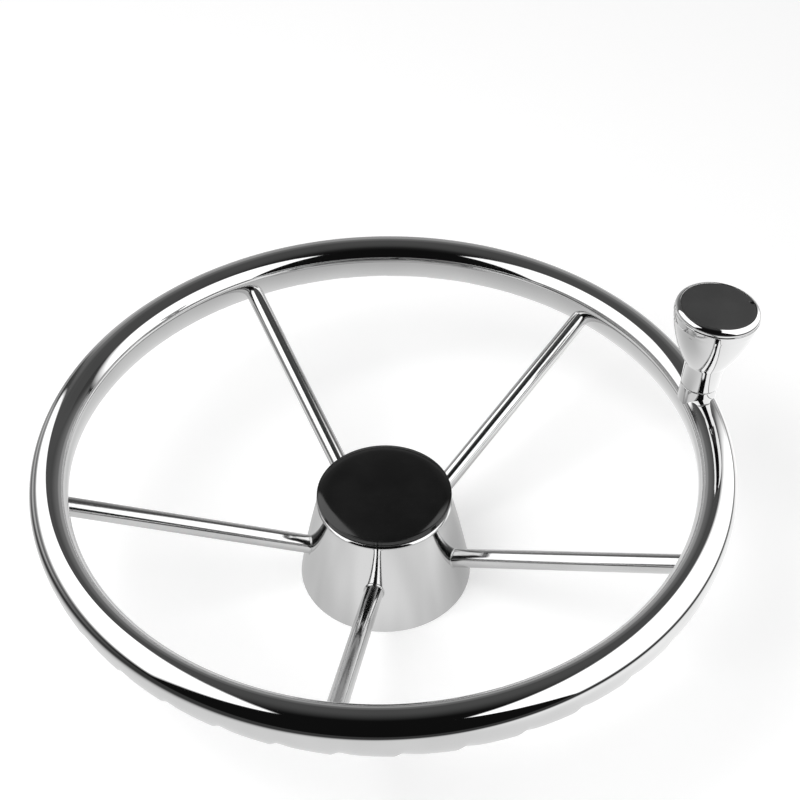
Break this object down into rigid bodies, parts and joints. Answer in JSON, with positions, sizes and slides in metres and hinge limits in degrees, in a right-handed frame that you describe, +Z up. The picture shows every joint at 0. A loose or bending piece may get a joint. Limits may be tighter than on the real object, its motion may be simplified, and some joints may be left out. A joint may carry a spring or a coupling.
{
  "type": "boat steering wheel",
  "caption": "Polished stainless boat steering wheel: dished spokes from a conical capped hub to a round rim with finger grips underneath, and a spinner knob on the rim",
  "frame": {"origin": "on the wheel's axis at the hub's base ring, where the wheel sits on the helm or a bench", "axes": "+Z up the wheel's axis towards the person who steers, -Y towards the picture's lower edge, +X to its right"},
  "size_m": [0.355, 0.3428, 0.148],
  "materials": {
    "polished_steel": "mirror-polished stainless steel",
    "spoke_steel": "mirror-polished stainless rod",
    "hub_steel": "polished stainless steel, slightly softer than the rim",
    "knob_steel": "mirror-polished stainless steel",
    "weld_steel": "dressed stainless weld bead",
    "turned_steel": "turned stainless steel",
    "cap_black": "glossy black moulded plastic",
    "lid_black": "satin dark plastic",
    "bush_nylon": "natural nylon"
  },
  "bodies": {
    "wheel": {"rim": "polished_steel", "spoke_1": "spoke_steel", "spoke_2": "spoke_steel", "spoke_3": "spoke_steel", "spoke_4": "spoke_steel", "spoke_5": "spoke_steel", "rim_welds": "weld_steel", "hub_welds": "weld_steel", "hub_shell": "hub_steel", "hub_plate": "turned_steel", "plate_weld": "weld_steel", "hub_boss": "turned_steel", "boss_weld": "weld_steel", "hub_cap": "cap_black", "knob_mount": "polished_steel", "knob_bolt": "turned_steel", "knob_washer": "turned_steel"},
    "knob": {"knob_body": "knob_steel", "knob_bush_lower": "bush_nylon", "knob_bush_upper": "bush_nylon", "knob_lid": "lid_black"}
  },
  "joints": [
    {"name": "knob_spin", "type": "hinge", "parent": "wheel", "child": "knob", "pos_m": [0.15868, 0.03113, 0.085], "axis": [0.0685, 0.0134, 0.9976], "continuous": true}
  ]
}
